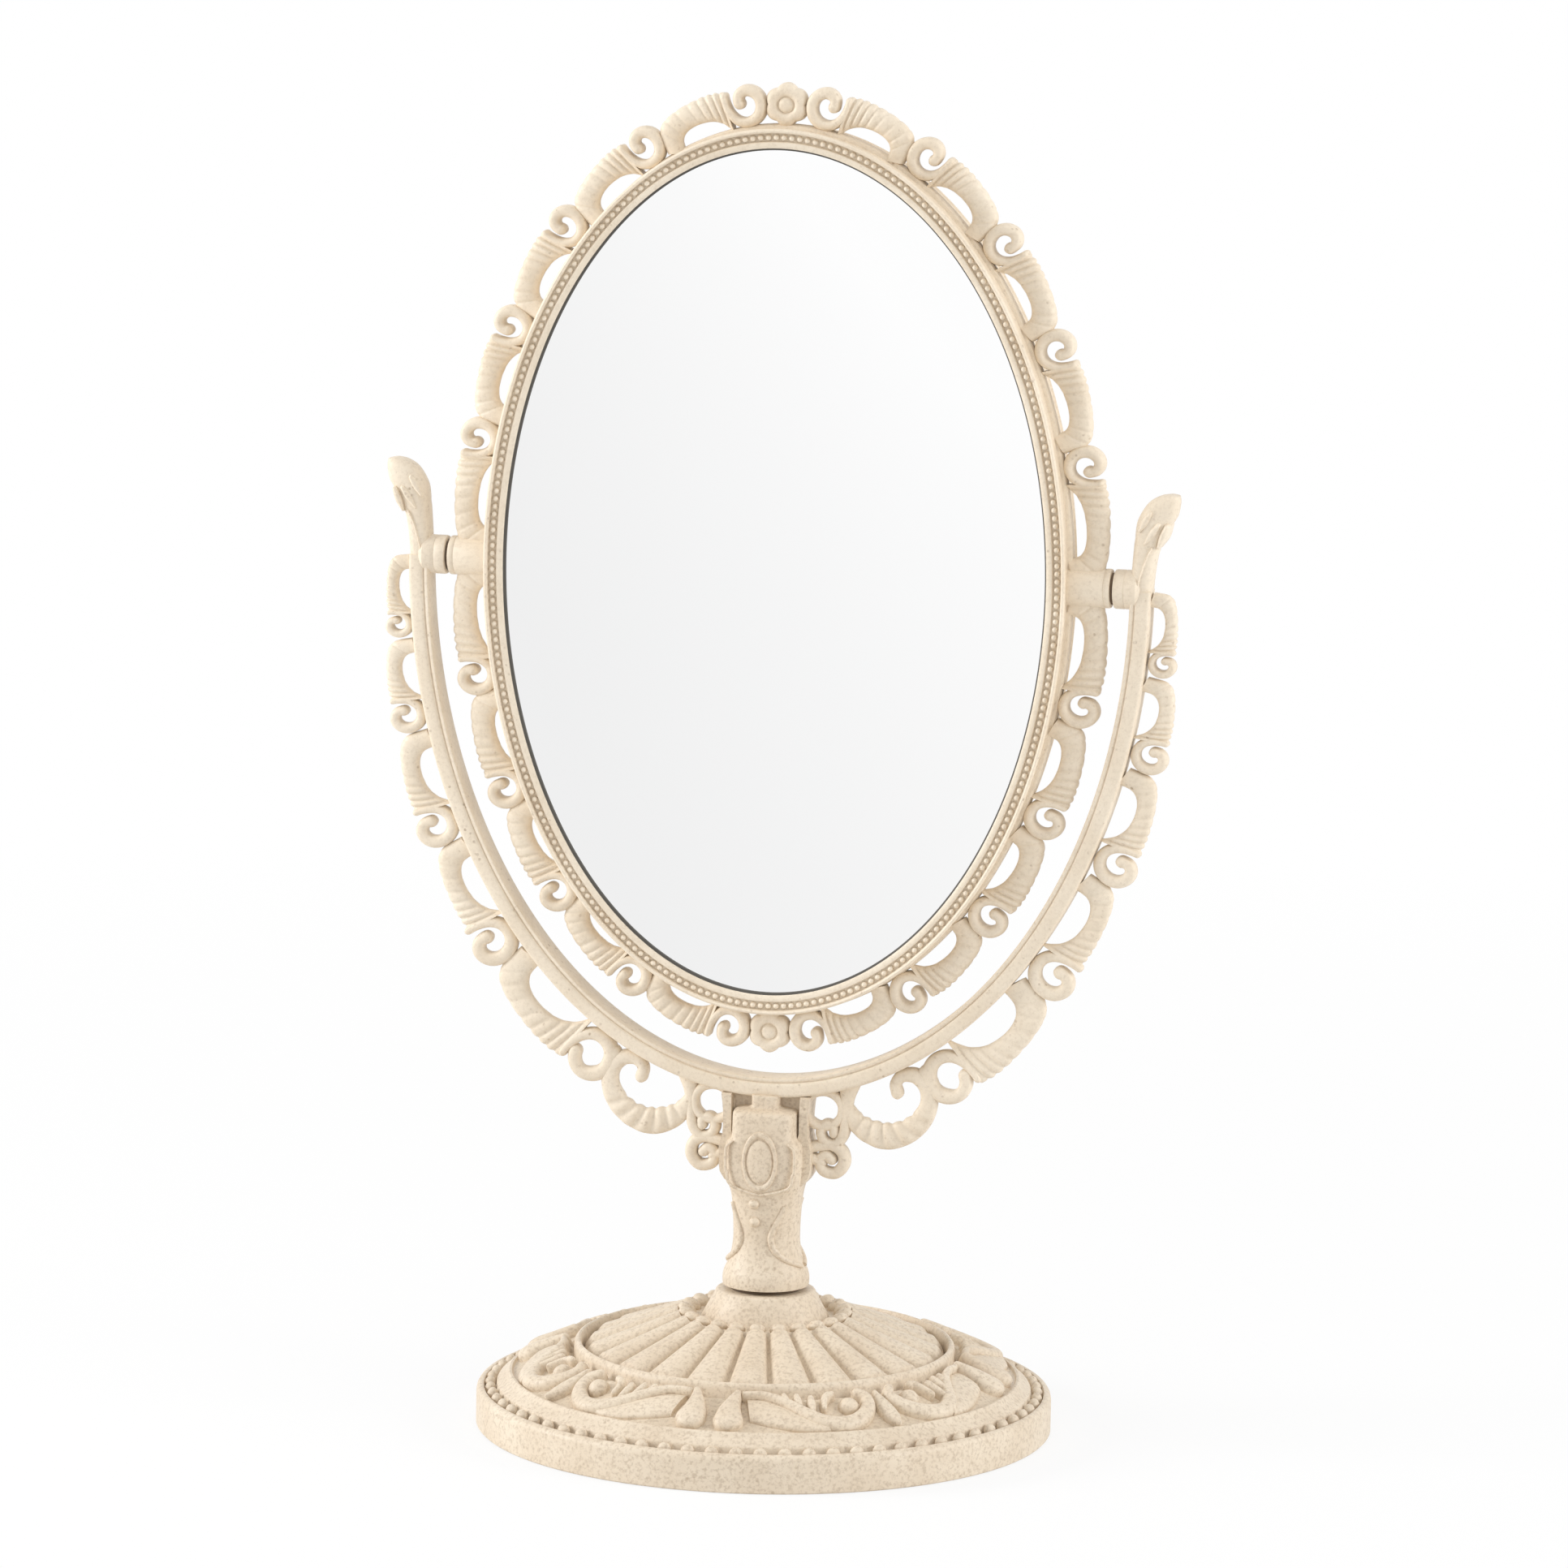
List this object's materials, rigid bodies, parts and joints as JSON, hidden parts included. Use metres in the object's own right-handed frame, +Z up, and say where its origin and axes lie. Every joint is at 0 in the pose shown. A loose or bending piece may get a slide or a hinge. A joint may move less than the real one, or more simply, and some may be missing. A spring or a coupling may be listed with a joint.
{
  "type": "pedestal vanity mirror",
  "caption": "Free-standing vanity mirror: oval two-sided glass in a scrolled frame, tilting in a U-shaped yoke on a column that swivels in a round fluted foot.",
  "frame": {"origin": "under the middle of the foot, on the surface the mirror stands on", "axes": "+Z up along the column, -Y out of the front glass, +X along the tilt pivots"},
  "size_m": [0.19, 0.1364, 0.319],
  "materials": {
    "moulded_plastic": "matte, fine specks",
    "mirror_glass": "silvered, polished",
    "spacer_plastic": "matte",
    "bush_plastic": "smooth",
    "washer_rubber": "matte",
    "steel": "plain",
    "ballast_iron": "raw",
    "pad_rubber": "matte"
  },
  "bodies": {
    "base": {"base_shell": "moulded_plastic", "base_cover": "moulded_plastic", "ballast_ring": "ballast_iron", "foot_pads": "pad_rubber", "cover_screws": "steel", "swivel_washer": "bush_plastic"},
    "upright": {"stem": "moulded_plastic", "yoke": "moulded_plastic", "yoke_screw": "steel", "stem_screw": "steel", "retaining_washer": "steel", "pivot_pin_left": "steel", "pivot_pin_right": "steel"},
    "mirror_head": {"mirror_frame": "moulded_plastic", "rear_bezel": "moulded_plastic", "front_mirror": "mirror_glass", "rear_mirror": "mirror_glass", "mirror_spacer": "spacer_plastic", "pivot_bush_left": "bush_plastic", "pivot_bush_right": "bush_plastic", "friction_washer_left": "washer_rubber", "friction_washer_right": "washer_rubber"}
  },
  "joints": [
    {"name": "stem_swivel", "type": "hinge", "parent": "base", "child": "upright", "pos_m": [0, 0, 0.034], "axis": [0, 0, 1], "continuous": true},
    {"name": "mirror_tilt", "type": "hinge", "parent": "upright", "child": "mirror_head", "pos_m": [0, 0, 0.2045], "axis": [1, 0, 0], "continuous": true}
  ]
}
